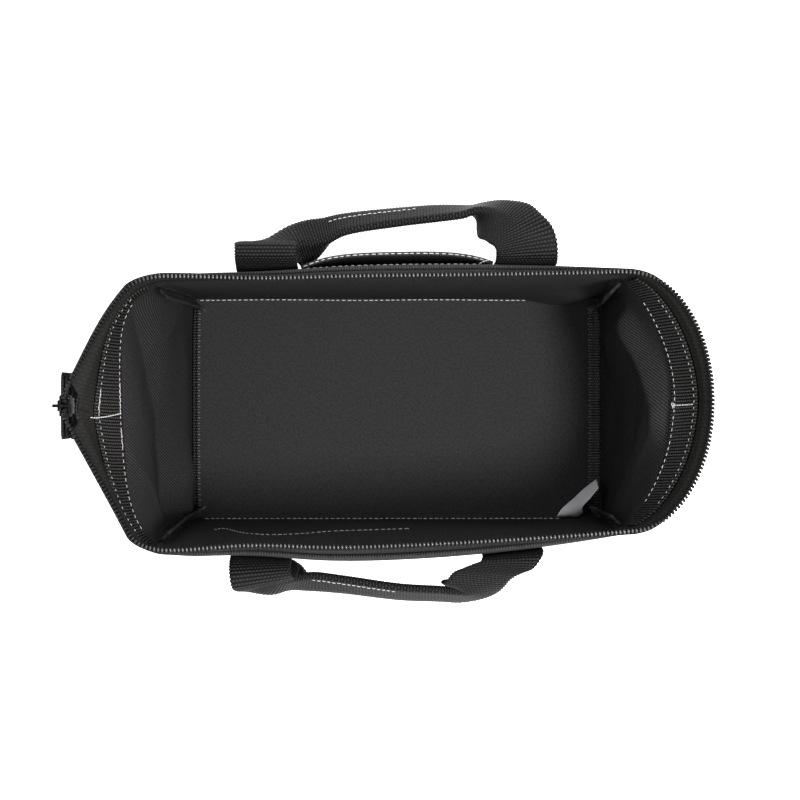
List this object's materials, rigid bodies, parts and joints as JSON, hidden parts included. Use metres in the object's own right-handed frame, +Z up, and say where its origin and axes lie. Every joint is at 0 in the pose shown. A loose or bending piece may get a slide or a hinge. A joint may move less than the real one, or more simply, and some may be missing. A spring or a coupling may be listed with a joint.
{
  "type": "canvas work bag",
  "caption": "Small open-topped canvas work bag with a zip round the mouth, bound inside seams, webbing handles folded into grips and an outside patch pocket.",
  "frame": {"origin": "middle of the underside of the floor, on the surface the bag stands on", "axes": "+Z up out of the mouth, +X along the length toward the end where the zip stops, +Y toward the wall with the pocket"},
  "size_m": [0.4106, 0.2576, 0.2047],
  "materials": {
    "canvas": "black woven polyester canvas, matt with a faint twill sheen",
    "binding": "black ribbed binding tape",
    "webbing": "black ribbed webbing",
    "zip_tape": "black woven zip tape",
    "zip_coil": "black nylon coil, slightly glossy",
    "zip_metal": "black painted die-cast metal",
    "label": "pale grey woven label, blank"
  },
  "bodies": {
    "bag": {"base_panel": "canvas", "side_panel_far": "canvas", "side_panel_near": "canvas", "end_panel_left": "canvas", "end_panel_right": "canvas", "seam_binding_left": "binding", "seam_binding_right": "binding", "end_band_left": "webbing", "end_band_right": "webbing", "zip_tape_far": "zip_tape", "zip_tape_near": "zip_tape", "zip_coil_far": "zip_coil", "zip_coil_near": "zip_coil", "zip_slider": "zip_metal", "zip_tail": "zip_tape", "zip_end_tab": "webbing", "handle_far": "webbing", "handle_near": "webbing", "pocket_far": "canvas", "care_label": "label"},
    "pull": {"zip_pull": "zip_metal"}
  },
  "joints": [
    {"name": "pull_swing", "type": "hinge", "parent": "bag", "child": "pull", "pos_m": [-0.2097, 0.0028, 0.1887], "axis": [0, 1, 0], "range_deg": [0, 144]}
  ]
}
